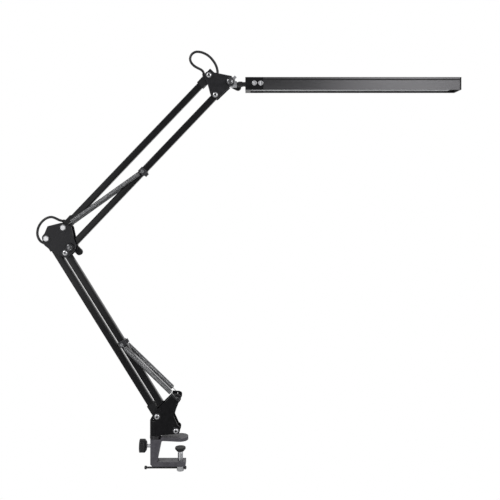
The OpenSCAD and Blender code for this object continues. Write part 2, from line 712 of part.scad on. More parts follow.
// Top bracket
module top_plate_front() color(paint) bracket_plate(top_corners, [top_1, top_2, tilt_p], -plate_out);
module top_plate_rear() color(paint) bracket_plate(top_corners, [top_1, top_2, tilt_p], plate_in);
module top_bolts() color(steel) for (p = [top_1, top_2]) pivot_bolt(p);
module top_nuts() color(steel) for (p = [top_1, top_2]) pivot_nut(p);
module top_spacers() color(dark) {
    for (p = [top_1, top_2]) washers(p);
    spacers(top_1, sleeve_face);
    spacers(top_2, tube_half);
    washers(tilt_p);
}
module tilt_bolt() color(dark) clamping_bolt(tilt_p);
module tilt_wing_knob() color(dark) wing_knob(tilt_p, -26);

// Saddle between the top plates that the cable goes down into
saddle_x = top_1[0] + 12.51;
saddle_top = top_1[1] + 1.67;
module top_cable_saddle() color(dark) {
    translate([saddle_x, 0, saddle_top - 8]) cylinder(r = cable_d / 2 + 0.8, h = 8);
    rod_y([saddle_x, saddle_top - 5], -plate_in, plate_in, 2.5);
}
module top_cable_loop() color(dark) swept_tube(top_route, cable_d, 8, [0, 1, 0]);

// Knuckle: ear on the tilt bolt, boss for the stem and a stop lug
module head_knuckle() color(steel) difference() {
    union() {
        rod_y(tilt_p, -knuckle_half, knuckle_half, 8);
        rod_x(tilt_p[0], knuckle_x, stem_z, stem_d / 2 + 1.5);
        translate([tilt_p[0], 0, tilt_p[1]]) rotate([0, -46, 0]) translate([0, -3, -2]) cube([12, 6, 4]);
    }
    rod_y(tilt_p, -plate_out, plate_out, bore_r);
    rod_x(tilt_p[0] + 5, knuckle_x + 1, stem_z, stem_d / 2 + fit);
}

// Stem from the knuckle into the head
module head_stem() color(dark) rod_x(tilt_p[0] + 5.2, block_end - 12, stem_z, stem_d / 2);
module stem_collar() color(dark) difference() {
    rod_x(knuckle_x + 2.4, knuckle_x + 8.4, stem_z, stem_d / 2 + 0.8);
    rod_x(knuckle_x, knuckle_x + 10, stem_z, stem_d / 2);
}

// Block inside the head that turns on the stem
module head_joint_block() color(grey_metal) difference() {
    translate([block_x, -head_in, board_z + 0.2])
        cube([block_end - block_x, 2 * head_in, head_z + head_t - head_wall - board_z - 0.2]);
    rod_x(block_x - 1, block_end - 11, stem_z, stem_d / 2 + fit);
    for (x = screw_xs) rod_y([x, head_z + 9.9], -head_in - 1, -head_in + 6, 1.5);
}

// Channel section of the head between two X values, open underneath, with ledges for the light
module channel(x0, x1, grooved) {
    difference() {
        translate([x0, -head_w / 2, head_z]) cube([x1 - x0, head_w, head_t]);
        translate([x0 - 1, -head_in, head_z - 1]) cube([x1 - x0 + 2, 2 * head_in, head_t - head_wall + 1]);
        if (grooved) front_and_rear()
            translate([x0 - 1, head_w / 2 - groove, head_z + head_t - 4.4]) cube([x1 - x0 + 2, 1, 1.2]);
    }
    front_and_rear() translate([x0, head_in - ledge_in, ledge_z]) cube([x1 - x0, ledge_in, ledge_t]);
}
module head_housing() color(paint) channel(cover_end, cap_x, true);

// Wide end cover with the stem's hole and the screws' holes
screw_xs = [head_x + 13.5, head_x + 22.9];
module head_end_cover() color(dark) difference() {
    union() {
        channel(head_x, cover_end, false);
        translate([head_x, -head_w / 2, head_z]) cube([head_wall, head_w, head_t]);
        translate([head_x, -head_w / 2, head_z]) cube([lens_x - 0.2 - head_x, head_w, recess + lens_t]);
    }
    rod_x(head_x - 1, head_x + head_wall + 1, stem_z, stem_d / 2 + 0.2);
    for (x = screw_xs) rod_y([x, head_z + 9.9], -head_w, 0, 1.55);
}
module head_end_cap() color(dark) difference() {
    translate([cap_x, -head_w / 2, head_z]) cube([cap_len, head_w, head_t]);
}
module head_end_screws() color(steel) for (x = screw_xs) difference() {
    union() {
        rod_y([x, head_z + 9.9], -head_w / 2 - 1.4, -head_w / 2, 3.7);
        rod_y([x, head_z + 9.9], -head_w / 2 - skin, -head_in + 5, 1.5);
    }
    translate([x - 0.5, -head_w / 2 - 2, head_z + 9.9 - 2.6]) cube([1, 1.2, 5.2]);
}

// Light: board on the ledges, a row of chips under it and the recessed diffuser
module led_board() color("#e8e8e4")
    translate([block_end + 1, -head_in + 0.3, board_z]) cube([cap_x - block_end - 2, 2 * head_in - 0.6, board_t]);
module led_chips() color("#f3ecc0")
    for (i = [0:chip_count - 1])
        translate([block_end + 6 + i * (cap_x - block_end - 16) / (chip_count - 1), -1.4, board_z - chip_t])
            cube([2.8, 2.8, chip_t]);
module diffuser() color("#f4f5f6")
    translate([lens_x, -head_in + 0.1, light_z]) cube([lens_end - lens_x, 2 * head_in - 0.2, lens_t]);

clamp_frame();
clamp_collar();
clamp_screw();
pressure_pad();
tommy_bar();
lock_knob();
lock_screw();
base_bracket();
swivel_post();
base_bolts();
base_nuts();
base_spacers();
base_spring_anchors();
lower_main_tube();
lower_sleeves();
lower_cable_gland();
lower_follower_tube();
lower_spring_clip();
lower_spring_front();
lower_spring_rear();
lower_spring_eyes();
lower_spring_links();
elbow_plate_front();
elbow_plate_rear();
elbow_bolts();
elbow_nuts();
elbow_spacers();
elbow_clamp_bolt();
elbow_wing_knob();
elbow_cable_loop();
upper_main_tube();
upper_sleeves();
upper_cable_glands();
upper_follower_tube();
upper_spring_clip();
upper_spring_front();
upper_spring_rear();
upper_spring_eyes();
upper_spring_links();
top_plate_front();
top_plate_rear();
top_bolts();
top_nuts();
top_spacers();
tilt_bolt();
tilt_wing_knob();
top_cable_saddle();
top_cable_loop();
head_knuckle();
head_stem();
stem_collar();
head_joint_block();
head_housing();
head_end_cover();
head_end_cap();
head_end_screws();
led_board();
led_chips();
diffuser();
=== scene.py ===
"""Clamp lamp: a swing-arm desk lamp with a bar-shaped head and a table clamp."""

import json
import math

import bmesh
import bpy
from mathutils import Matrix, Vector

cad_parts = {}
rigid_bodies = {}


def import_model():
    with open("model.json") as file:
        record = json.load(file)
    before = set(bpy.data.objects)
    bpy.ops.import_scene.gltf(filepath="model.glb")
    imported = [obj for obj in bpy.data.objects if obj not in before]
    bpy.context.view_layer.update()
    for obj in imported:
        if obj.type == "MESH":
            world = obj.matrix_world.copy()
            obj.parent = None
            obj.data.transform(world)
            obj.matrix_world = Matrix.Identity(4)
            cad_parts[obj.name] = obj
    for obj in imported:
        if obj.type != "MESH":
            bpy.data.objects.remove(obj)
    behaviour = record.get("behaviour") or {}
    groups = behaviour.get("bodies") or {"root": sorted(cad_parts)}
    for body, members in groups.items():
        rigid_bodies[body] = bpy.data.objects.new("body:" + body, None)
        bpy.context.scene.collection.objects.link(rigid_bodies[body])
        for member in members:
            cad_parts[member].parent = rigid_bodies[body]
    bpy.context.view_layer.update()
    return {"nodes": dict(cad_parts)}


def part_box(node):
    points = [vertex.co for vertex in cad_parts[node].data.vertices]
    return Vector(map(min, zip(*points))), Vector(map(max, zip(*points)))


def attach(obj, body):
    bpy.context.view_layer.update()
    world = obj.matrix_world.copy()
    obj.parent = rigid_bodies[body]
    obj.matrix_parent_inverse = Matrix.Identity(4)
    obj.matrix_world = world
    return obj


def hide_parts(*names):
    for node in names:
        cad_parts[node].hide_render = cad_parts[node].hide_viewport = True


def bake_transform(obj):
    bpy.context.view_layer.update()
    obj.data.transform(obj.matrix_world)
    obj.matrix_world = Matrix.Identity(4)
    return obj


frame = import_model()
mm = 0.001

# Camera
# It stands level in front of the lamp, a little above its middle, with the view shifted down to it.
bpy.ops.object.select_all(action="DESELECT")
bpy.ops.object.camera_add(location=(0.1052, -1.062, 0.3788), rotation=(math.radians(90), 0, 0))
camera = bpy.context.object
camera.name = "camera"
camera.data.lens = 50.6
camera.data.sensor_width = 36
camera.data.shift_y = -0.1233
bpy.context.scene.camera = camera
bpy.context.scene.view_settings.view_transform = "Standard"


# Lamp cable
# A 3.8 mm round cable with a smooth rubber jacket. It runs inside the arms and shows in two loops:
# one goes round the elbow bracket and one arches over the top bracket into its saddle.
def rubber(name, dark, light, rough):
    """Smooth dark rubber with faint handling marks and a soft waviness."""
    finish = bpy.data.materials.new(name)
    finish.use_nodes = True
    nodes = finish.node_tree.nodes
    links = finish.node_tree.links
    shader = nodes["Principled BSDF"]
    where = nodes.new("ShaderNodeTexCoord")
    marks = nodes.new("ShaderNodeTexNoise")
    marks.inputs["Scale"].default_value = 260
    marks.inputs["Detail"].default_value = 5
    links.new(where.outputs["Object"], marks.inputs["Vector"])
    tone = nodes.new("ShaderNodeValToRGB")
    tone.color_ramp.elements[0].position = 0.35
    tone.color_ramp.elements[0].color = (*dark, 1)
    tone.color_ramp.elements[1].position = 0.7
    tone.color_ramp.elements[1].color = (*light, 1)
    links.new(marks.outputs["Fac"], tone.inputs["Fac"])
    links.new(tone.outputs["Color"], shader.inputs["Base Color"])
    dull = nodes.new("ShaderNodeMapRange")
    dull.inputs["To Min"].default_value = rough - 0.08
    dull.inputs["To Max"].default_value = rough + 0.1
    links.new(marks.outputs["Fac"], dull.inputs["Value"])
    links.new(dull.outputs["Result"], shader.inputs["Roughness"])
    bump = nodes.new("ShaderNodeBump")
    bump.inputs["Strength"].default_value = 0.12
    bump.inputs["Distance"].default_value = 0.0002
    links.new(marks.outputs["Fac"], bump.inputs["Height"])
    links.new(bump.outputs["Normal"], shader.inputs["Normal"])
    return finish


def smooth_line(points, steps):
    """Points of a smooth curve through the given points, with so many steps between two of them."""
    ends = [points[0] * 2 - points[1]] + points + [points[-1] * 2 - points[-2]]
    line = []
    for a, b, c, d in zip(ends, ends[1:], ends[2:], ends[3:]):
        for k in range(steps):
            t = k / steps
            line.append(0.5 * (2 * b + (c - a) * t + (2 * a - 5 * b + 4 * c - d) * t ** 2
                               + (3 * b - a - 3 * c + d) * t ** 3))
    return line + [points[-1]]


def pick(piece):
    """Makes one piece the only selected one."""
    bpy.ops.object.select_all(action="DESELECT")
    piece.select_set(True)
    bpy.context.view_layer.objects.active = piece


def drawn_wire(name, line, width, sides):
    """Round wire or cable of one width along a line, closed at both ends."""
    mesh = bmesh.new()
    across = Vector((0, 1, 0))
    rings = []
    for i, point in enumerate(line):
        along = (line[min(i + 1, len(line) - 1)] - line[max(i - 1, 0)]).normalized()
        across = (across - along * across.dot(along)).normalized()
        other = along.cross(across)
        turns = [2 * math.pi * k / sides for k in range(sides)]
        rings.append([mesh.verts.new(point + width / 2 * (math.cos(a) * across + math.sin(a) * other))
                      for a in turns])
    for one, two in zip(rings, rings[1:]):
        for k in range(sides):
            mesh.faces.new((one[k], one[(k + 1) % sides], two[(k + 1) % sides], two[k]))
    mesh.faces.new(rings[0][::-1])
    mesh.faces.new(rings[-1])
    bmesh.ops.recalc_face_normals(mesh, faces=mesh.faces)
    data = bpy.data.meshes.new(name)
    mesh.to_mesh(data)
    mesh.free()
    piece = bpy.data.objects.new(name, data)
    bpy.context.collection.objects.link(piece)
    pick(piece)
    bpy.ops.object.shade_smooth()
    return piece


def dress(piece, finish):
    """Gives a piece its finish."""
    piece.data.materials.clear()
    piece.data.materials.append(finish)


cable_width = 3.8 * mm
cable_sides = 20
cable_jacket = rubber("cable_jacket", dark=(0.006, 0.006, 0.007), light=(0.014, 0.013, 0.015), rough=0.36)
# Both routes are points of x and z in millimetres, in the plane through the middle of the arms.
elbow_route = [(-204.4, 295.6), (-207.3, 296.5), (-211.1, 298.8), (-213.9, 302.6), (-215.7, 307.2),
               (-216.1, 312.4), (-214.7, 319.4), (-211, 326.2), (-206, 331.3), (-200.6, 334.4),
               (-194.6, 335.5), (-188.6, 333.6), (-182.6, 330.7), (-177.3, 329.4)]
top_route = [(35.3, 552), (34.3, 555), (31.4, 558), (26, 560.7), (20.6, 564), (16.2, 569),
             (14.7, 574.6), (16.3, 580), (19.8, 583.5), (24.5, 585.2), (31.4, 584.5), (38.4, 581.7),
             (44.7, 577.2), (49.8, 571.3), (53.3, 565.5), (55.4, 559.8), (56.2, 554.5), (56.2, 550)]
for name, node, route, first, last in (
        ("cable_elbow", "elbow_cable_loop", elbow_route, "elbow", "upper_arm"),
        ("cable_top", "top_cable_loop", top_route, "upper_arm", "top")):
    line = smooth_line([Vector((x * mm, 0, z * mm)) for x, z in route], steps=2)
    loop = drawn_wire(name, line, cable_width, cable_sides)
    dress(loop, cable_jacket)
    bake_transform(loop)
    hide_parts(node)

# Floor, backdrop and studio light
# A pale floor well below the clamp and a white backdrop far behind the lamp, lit by five soft lamps.
# Only the backdrop is also white in the lamp's reflections.
bpy.ops.mesh.primitive_plane_add(size=10, location=(0.1, 0.4, -0.8))
floor = bpy.context.object
floor.name = "floor"
bpy.ops.mesh.primitive_plane_add(size=14, location=(0.1, 3, 1.2), rotation=(math.radians(90), 0, 0))
backdrop = bpy.context.object
backdrop.name = "backdrop"
for stand in (floor, backdrop):
    paper = bpy.data.materials.new(stand.name + "_paper")
    paper.use_nodes = True
    nodes = paper.node_tree.nodes
    links = paper.node_tree.links
    nodes.remove(nodes["Principled BSDF"])
    pale = nodes.new("ShaderNodeBsdfDiffuse")
    pale.inputs["Color"].default_value = (0.86, 0.86, 0.86, 1)
    white = nodes.new("ShaderNodeEmission")
    white.inputs["Strength"].default_value = 1
    seen = nodes.new("ShaderNodeLightPath")
    shown = seen.outputs["Is Camera Ray"]
    if stand is backdrop:
        either = nodes.new("ShaderNodeMath")
        either.operation = "MAXIMUM"
        links.new(shown, either.inputs[0])
        links.new(seen.outputs["Is Glossy Ray"], either.inputs[1])
        shown = either.outputs["Value"]
    blend = nodes.new("ShaderNodeMixShader")
    links.new(shown, blend.inputs["Fac"])
    links.new(pale.outputs["BSDF"], blend.inputs[1])
    links.new(white.outputs["Emission"], blend.inputs[2])
    links.new(blend.outputs["Shader"], nodes["Material Output"].inputs["Surface"])
    stand.data.materials.append(paper)

world = bpy.data.worlds.new("studio")
bpy.context.scene.world = world
world.use_nodes = True
nodes = world.node_tree.nodes
links = world.node_tree.links
room = nodes["Background"]
room.inputs["Color"].default_value = (0.97, 0.98, 1, 1)
room.inputs["Strength"].default_value = 0.42
bright = nodes.new("ShaderNodeBackground")
bright.inputs["Color"].default_value = (1, 1, 1, 1)
bright.inputs["Strength"].default_value = 1
seen = nodes.new("ShaderNodeLightPath")
blend = nodes.new("ShaderNodeMixShader")
links.new(seen.outputs["Is Camera Ray"], blend.inputs["Fac"])
links.new(room.outputs["Background"], blend.inputs[1])
links.new(bright.outputs["Background"], blend.inputs[2])
links.new(blend.outputs["Shader"], nodes["World Output"].inputs["Surface"])

lit_point = Vector((0, 0, 0.3))
studio = {"key": ((-1.3, -1.1, 1.5), 0.9, 16),
          "fill": ((1.5, -1.3, 0.9), 1.1, 9),
          "low": ((-0.7, -1.0, -0.1), 0.5, 0.8),
          "sheen": ((0.56, -1.06, 0.68), 0.36, 1.9),
          "side": ((-0.49, -1.06, 0.24), 0.4, 0.5)}
for name, (spot, size, watts) in studio.items():
    bpy.ops.object.light_add(type="AREA", location=spot)
    light = bpy.context.object
    light.name = name + "_light"
    light.data.size = size
    light.data.energy = watts
    light.rotation_euler = (lit_point - Vector(spot)).to_track_quat("-Z", "Y").to_euler()


# Clamp frame
# A cast and painted bracket: a flat jaw with a round end, a spine with the post's round socket,
# and a lower arm with the clamp screw's thread.
def coated(name, dark, light, rough, grain, depth, metal=0.0, stretch=(1, 1, 1), wear_and_highlight=0.0, gloss=0.3,
           bare_and_highlight=0.02):
    """Paint, plastic or metal: cloudy tone, uneven gloss, a fine grain and paler edges, partly from
    wearing and, where set strong, a painted highlight along rounded edges.

    grain is how many marks come to a metre, depth their height in millimetres, and bare lightens the
    pale edges further.
    """
    finish = bpy.data.materials.new(name)
    finish.use_nodes = True
    nodes = finish.node_tree.nodes
    links = finish.node_tree.links
    shader = nodes["Principled BSDF"]
    shader.inputs["Metallic"].default_value = metal
    if not metal:
        shader.inputs["Specular IOR Level"].default_value = gloss
    where = nodes.new("ShaderNodeTexCoord")
    lay = nodes.new("ShaderNodeMapping")
    lay.inputs["Scale"].default_value = stretch
    links.new(where.outputs["Object"], lay.inputs["Vector"])
    clouds = nodes.new("ShaderNodeTexNoise")
    clouds.inputs["Scale"].default_value = grain / 12
    clouds.inputs["Detail"].default_value = 6
    clouds.inputs["Roughness"].default_value = 0.6
    fine = nodes.new("ShaderNodeTexNoise")
    fine.inputs["Scale"].default_value = grain
    fine.inputs["Detail"].default_value = 4
    links.new(lay.outputs["Vector"], clouds.inputs["Vector"])
    links.new(lay.outputs["Vector"], fine.inputs["Vector"])
    tone = nodes.new("ShaderNodeValToRGB")
    tone.color_ramp.elements[0].position = 0.3
    tone.color_ramp.elements[0].color = (*dark, 1)
    tone.color_ramp.elements[1].position = 0.72
    tone.color_ramp.elements[1].color = (*light, 1)
    links.new(clouds.outputs["Fac"], tone.inputs["Fac"])
    face = nodes.new("ShaderNodeNewGeometry")
    round_off = nodes.new("ShaderNodeBevel")
    round_off.samples = 4
    round_off.inputs["Radius"].default_value = 0.0009
    match = nodes.new("ShaderNodeVectorMath")
    match.operation = "DOT_PRODUCT"
    links.new(face.outputs["Normal"], match.inputs[0])
    links.new(round_off.outputs["Normal"], match.inputs[1])
    # Paler edges: wearing, and where set strong a painted highlight along rounded edges.
    wear_and_highlight_mask = nodes.new("ShaderNodeMapRange")
    wear_and_highlight_mask.inputs["From Min"].default_value = 0.97
    wear_and_highlight_mask.inputs["From Max"].default_value = 0.8
    wear_and_highlight_mask.inputs["To Max"].default_value = wear_and_highlight
    links.new(match.outputs["Value"], wear_and_highlight_mask.inputs["Value"])
    wear_and_highlight_mix = nodes.new("ShaderNodeMix")
    wear_and_highlight_mix.data_type = "RGBA"
    wear_and_highlight_mix.inputs["B"].default_value = (*[min(1, c * 2 + bare_and_highlight) for c in light], 1)
    links.new(wear_and_highlight_mask.outputs["Result"], wear_and_highlight_mix.inputs["Factor"])
    links.new(tone.outputs["Color"], wear_and_highlight_mix.inputs["A"])
    links.new(wear_and_highlight_mix.outputs["Result"], shader.inputs["Base Color"])
    dull = nodes.new("ShaderNodeMapRange")
    dull.inputs["From Min"].default_value = 0.3
    dull.inputs["From Max"].default_value = 0.7
    dull.inputs["To Min"].default_value = rough[0]
    dull.inputs["To Max"].default_value = rough[1]
    links.new(clouds.outputs["Fac"], dull.inputs["Value"])
    links.new(dull.outputs["Result"], shader.inputs["Roughness"])
    bump = nodes.new("ShaderNodeBump")
    bump.inputs["Strength"].default_value = 0.25
    bump.inputs["Distance"].default_value = depth * mm
    links.new(fine.outputs["Fac"], bump.inputs["Height"])
    links.new(bump.outputs["Normal"], shader.inputs["Normal"])
    return finish


def eased(node, name, radius, steps=3):
    """A copy of a node's shape with its edges eased by a small radius in millimetres."""
    pick(frame["nodes"][node])
    bpy.ops.object.duplicate()
    piece = bpy.context.object
    bpy.ops.object.parent_clear(type="CLEAR_KEEP_TRANSFORM")
    for key in [k for k in piece.keys() if k.startswith("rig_")]:
        del piece[key]
    piece.name = name
    piece.data.name = name
    bpy.ops.object.mode_set(mode="EDIT")
    bpy.ops.mesh.select_all(action="SELECT")
    bpy.ops.mesh.remove_doubles(threshold=0.000002)
    bpy.ops.mesh.dissolve_limited(angle_limit=math.radians(0.8))
    bpy.ops.object.mode_set(mode="OBJECT")
    ease = piece.modifiers.new("ease", "BEVEL")
    ease.width = radius * mm
    ease.segments = steps
    ease.limit_method = "ANGLE"
    ease.angle_limit = math.radians(32)
    ease.use_clamp_overlap = True
    ease.loop_slide = False
    flat = piece.modifiers.new("flat", "WEIGHTED_NORMAL")
    flat.keep_sharp = True
    bpy.ops.object.modifier_apply(modifier="ease")
    bpy.ops.object.shade_smooth_by_angle(angle=math.radians(40))
    bpy.ops.object.modifier_apply(modifier="flat")
    return piece


def fit(piece, finish, slot, body, *nodes):
    """Finishes a piece, lets it ride on its body and puts it in the place of its nodes."""
    dress(piece, finish)
    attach(piece, body)
    if nodes:
        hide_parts(*nodes)


cast_paint = coated("cast_paint", dark=(0.052, 0.049, 0.057), light=(0.088, 0.084, 0.096),
                    rough=(0.34, 0.5), grain=1500, depth=0.12, wear_and_highlight=0.5, gloss=0.35)
casting = eased("clamp_frame", "clamp_casting", 0.7)
fit(casting, cast_paint, "clamp_paint", "clamp", "clamp_frame")

# Collar under the base bracket
# A turned steel ring, black and glossy, that the bracket turns on.
gloss_black = coated("gloss_black", dark=(0.006, 0.006, 0.007), light=(0.014, 0.013, 0.015),
                     rough=(0.16, 0.3), grain=900, depth=0.06, wear_and_highlight=0.35, gloss=0.6)
ring = eased("clamp_collar", "collar_ring", 0.5)
fit(ring, gloss_black, "dark_steel", "clamp", "clamp_collar")


# Clamp screw, pressure pad and tommy bar
# A plated screw with a rolled thread, a black pad that swivels on its tip, and a bar with two caps
# that slides through the screw's head.
def turned(name, outline, corners=48):
    """A turned piece along +Z from pairs of radius and height in millimetres."""
    first, low = outline[0]
    bpy.ops.mesh.primitive_circle_add(vertices=corners, radius=first * mm, fill_type="NGON")
    piece = bpy.context.object
    piece.name = name
    piece.data.name = name
    bpy.ops.object.mode_set(mode="EDIT")
    bpy.ops.mesh.select_mode(type="FACE")
    bpy.ops.mesh.select_all(action="SELECT")
    bpy.ops.transform.translate(value=(0, 0, low * mm))
    for (r0, z0), (r1, z1) in zip(outline, outline[1:]):
        bpy.ops.mesh.extrude_region_move(TRANSFORM_OT_translate={"value": (0, 0, (z1 - z0) * mm)})
        bpy.ops.transform.resize(value=(r1 / r0, r1 / r0, 1), center_override=(0, 0, z1 * mm))
    bpy.ops.mesh.select_all(action="SELECT")
    bpy.ops.mesh.normals_make_consistent(inside=False)
    bpy.ops.object.mode_set(mode="OBJECT")
    bpy.ops.object.shade_smooth_by_angle(angle=math.radians(28))
    return piece


def place(piece, x, y, z, turn=(0, 0, 0)):
    """Puts a piece at a point in millimetres, turned, and keeps the place in its mesh."""
    pick(piece)
    piece.rotation_euler = [math.radians(a) for a in turn]
    piece.location = (x * mm, y * mm, z * mm)
    bpy.ops.object.transform_apply(location=True, rotation=True, scale=True)
    return piece


def thread(radius, start, end, pitch):
    """Outline of a threaded stretch, with one crest to each pitch."""
    count = int(abs(end - start) / pitch)
    step = (end - start) / count
    root = radius - 0.12 * pitch
    rows = []
    for i in range(count):
        rows += [(root, start + i * step), (root, start + (i + 0.1) * step),
                 (radius, start + (i + 0.45) * step), (radius, start + (i + 0.6) * step)]
    return rows + [(root, end)]


def cut_out(piece, tool, smooth):
    """Cuts a tool's shape out of a piece and shades faces smooth up to an angle in degrees."""
    pick(piece)
    cut = piece.modifiers.new("cut", "BOOLEAN")
    cut.object = tool
    cut.solver = "EXACT"
    bpy.ops.object.modifier_apply(modifier="cut")
    bpy.data.objects.remove(tool)
    bpy.ops.object.shade_smooth_by_angle(angle=math.radians(smooth))


def together(name, pieces):
    """Joins pieces into one."""
    pick(pieces[0])
    for piece in pieces[1:]:
        piece.select_set(True)
    if len(pieces) > 1:
        bpy.ops.object.join()
    whole = bpy.context.object
    whole.name = name
    whole.data.name = name
    return whole


bright_plate = coated("bright_plate", dark=(0.48, 0.48, 0.49), light=(0.68, 0.68, 0.69),
                      rough=(0.16, 0.3), grain=2600, depth=0.03, metal=1.0)
bar_height = -43
spindle = turned("clamp_spindle", [(4.8, -47.5), (5.5, -46.9), (5.5, -40.2), (4.9, -39.5), (3.9, -39.5)]
                 + thread(radius=4.0, start=-39.2, end=-19.5, pitch=1.25) + [(3.7, -19.3), (3.7, -15.05)])
bore = turned("bore", [(1.55, -12), (1.55, 12)], corners=24)
place(bore, 0, 0, bar_height, turn=(0, 90, 0))
cut_out(spindle, bore, smooth=28)
fit(spindle, bright_plate, "nickel", "screw", "clamp_screw")
pad_plastic = coated("pad_plastic", dark=(0.007, 0.007, 0.008), light=(0.016, 0.016, 0.018),
                     rough=(0.42, 0.6), grain=1800, depth=0.12, wear_and_highlight=0.2)
pad = eased("pressure_pad", "swivel_pad", 0.5)
fit(pad, pad_plastic, "black_plastic", "pad", "pressure_pad")
bar = turned("slide_bar", [(1.2, -54.4), (2.4, -53.9), (2.7, -53.2), (2.7, -51.4), (2.3, -50.8),
                           (1.5, -50.7), (1.5, 5.7), (2.3, 5.8), (2.7, 6.4), (2.7, 8.1), (2.4, 8.8),
                           (1.2, 9.2)], corners=32)
place(bar, 0, 0, bar_height, turn=(0, 90, 0))
fit(bar, gloss_black, "dark_steel", "tommy", "tommy_bar")

# Locking knob and its screw
# A ribbed plastic knob moulded on a plated screw, which grips the swivel post through the spine.
knob_plastic = coated("knob_plastic", dark=(0.008, 0.008, 0.009), light=(0.02, 0.02, 0.022),
                      rough=(0.38, 0.55), grain=1600, depth=0.12, wear_and_highlight=0.4)
knob = eased("lock_knob", "ribbed_knob", 0.35, steps=2)
fit(knob, knob_plastic, "black_plastic", "lock", "lock_knob")
stud = turned("knob_stud", [(2.6, -59.3), (2.6, -50.6)]
              + thread(radius=2.75, start=-50.4, end=-42.3, pitch=0.9) + [(2.3, -42.2)], corners=32)
place(stud, 0, 0, -10, turn=(0, 90, 0))
fit(stud, bright_plate, "nickel", "lock", "lock_screw")

# Base bracket and swivel post
# Sheet steel folded round the post into two plates, with a horn for the lower springs' anchors.
base_paint = coated("base_paint", dark=(0.003, 0.003, 0.0034), light=(0.0062, 0.006, 0.007),
                    rough=(0.3, 0.44), grain=1700, depth=0.08, wear_and_highlight=0.55, gloss=0.16)
folded = eased("base_bracket", "folded_bracket", 0.4, steps=2)
fit(folded, base_paint, "paint", "base", "base_bracket")
post = eased("swivel_post", "turning_post", 0.4)
fit(post, bright_plate, "nickel", "base", "swivel_post")
studs = eased("base_spring_anchors", "horn_studs", 0.25, steps=2)
fit(studs, gloss_black, "dark_steel", "base", "base_spring_anchors")

# Pivot bolts of the three brackets
# Button head bolts with a hexagon socket, and two plain hexagon heads at the elbow. Each pivot is
# at x and z in millimetres.
pivots = {"base": [(-34, 37), (-5.8, 15.6)],
          "elbow": [(-171.7, 282.2), (-199.9, 303.6), (-174.6, 319.9)],
          "top": [(43.7, 548.4), (53.3, 519)]}


def at_pivot(pattern, pivot):
    """A copy of a bolt or of a socket's black floor disc, which is painted shade, at a pivot."""
    pick(pattern)
    bpy.ops.object.duplicate()
    return place(bpy.context.object, pivot[0], 0, pivot[1])


shank = [(2.5, -9.2), (2.5, 9.4)] + thread(radius=2.5, start=9.5, end=12.6, pitch=0.8) + [(2.1, 13)]
button = turned("button_bolt", shank, corners=32)
place(button, 0, 0, 0, turn=(-90, 0, 0))
head = turned("head", [(4.1, 9.2), (4.1, 10.1), (4.02, 10.5), (3.75, 11), (3.25, 11.5), (2.7, 11.85),
                       (2.3, 12)])
socket = turned("socket", [(1.75, 10.2), (1.75, 12.4), (2.1, 13)], corners=6)
cut_out(head, socket, smooth=32)
place(head, 0, 0, 0, turn=(90, 0, 0))
button = together("button_bolt", [button, head])
hexagon = turned("hexagon_bolt", shank, corners=32)
place(hexagon, 0, 0, 0, turn=(-90, 0, 0))
head = turned("head", [(4.62, 9.2), (4.62, 11.2), (4.1, 11.8), (3.6, 11.85), (3.3, 11.6), (1, 11.6)],
              corners=6)
place(head, 0, 0, 0, turn=(90, 0, 0))
hexagon = together("hexagon_bolt", [hexagon, head])
# A thin black hexagon disc on each button head's socket floor is painted shade in the recess.
socket_shade_disc = turned("socket_shade_disc", [(1.7, 10.15), (1.7, 10.32)], corners=6)
place(socket_shade_disc, 0, 0, 0, turn=(90, 0, 0))
# Flat black for painted shade: the discs on the socket floors and the strips in the head's grooves.
painted_shade_black = coated("painted_shade_black", dark=(0.004, 0.004, 0.004), light=(0.012, 0.012, 0.012),
                      rough=(0.5, 0.7), grain=1500, depth=0.05)
for bracket, points in pivots.items():
    buttoned = points[:1] if bracket == "elbow" else points
    bolts = [at_pivot(button if point in buttoned else hexagon, point) for point in points]
    fit(together(bracket + "_pivot_bolts", bolts), bright_plate, "nickel", bracket, bracket + "_bolts")
    socket_shade_discs = [at_pivot(socket_shade_disc, point) for point in buttoned]
    fit(together(bracket + "_socket_shades", socket_shade_discs), painted_shade_black, "dark_steel", bracket)
for pattern in (socket_shade_disc, button, hexagon):
    bpy.data.objects.remove(pattern)

# Nuts, washers and spacers
# Plated hexagon nuts behind, and black washers and spacer rings on every bolt.
for bracket in pivots:
    nuts = eased(bracket + "_nuts", bracket + "_hex_nuts", 0.35, steps=2)
    fit(nuts, bright_plate, "nickel", bracket, bracket + "_nuts")
    rings = eased(bracket + "_spacers", bracket + "_washers", 0.18, steps=2)
    fit(rings, gloss_black, "dark_steel", bracket, bracket + "_spacers")

# Arm tubes
# Square steel tube, drawn with rounded corners and powder coated. Each arm has a main tube, which
# carries the cable, and a follower tube beside it.
tube_side = 10
tube_wall = 1
tube_past = 4
hollow_past = 15
end_round = 3
corner_round = 1.5
elbow_clamp = (-165, 290.5)
lower_tilt = 121.9
upper_tilt = 46.3


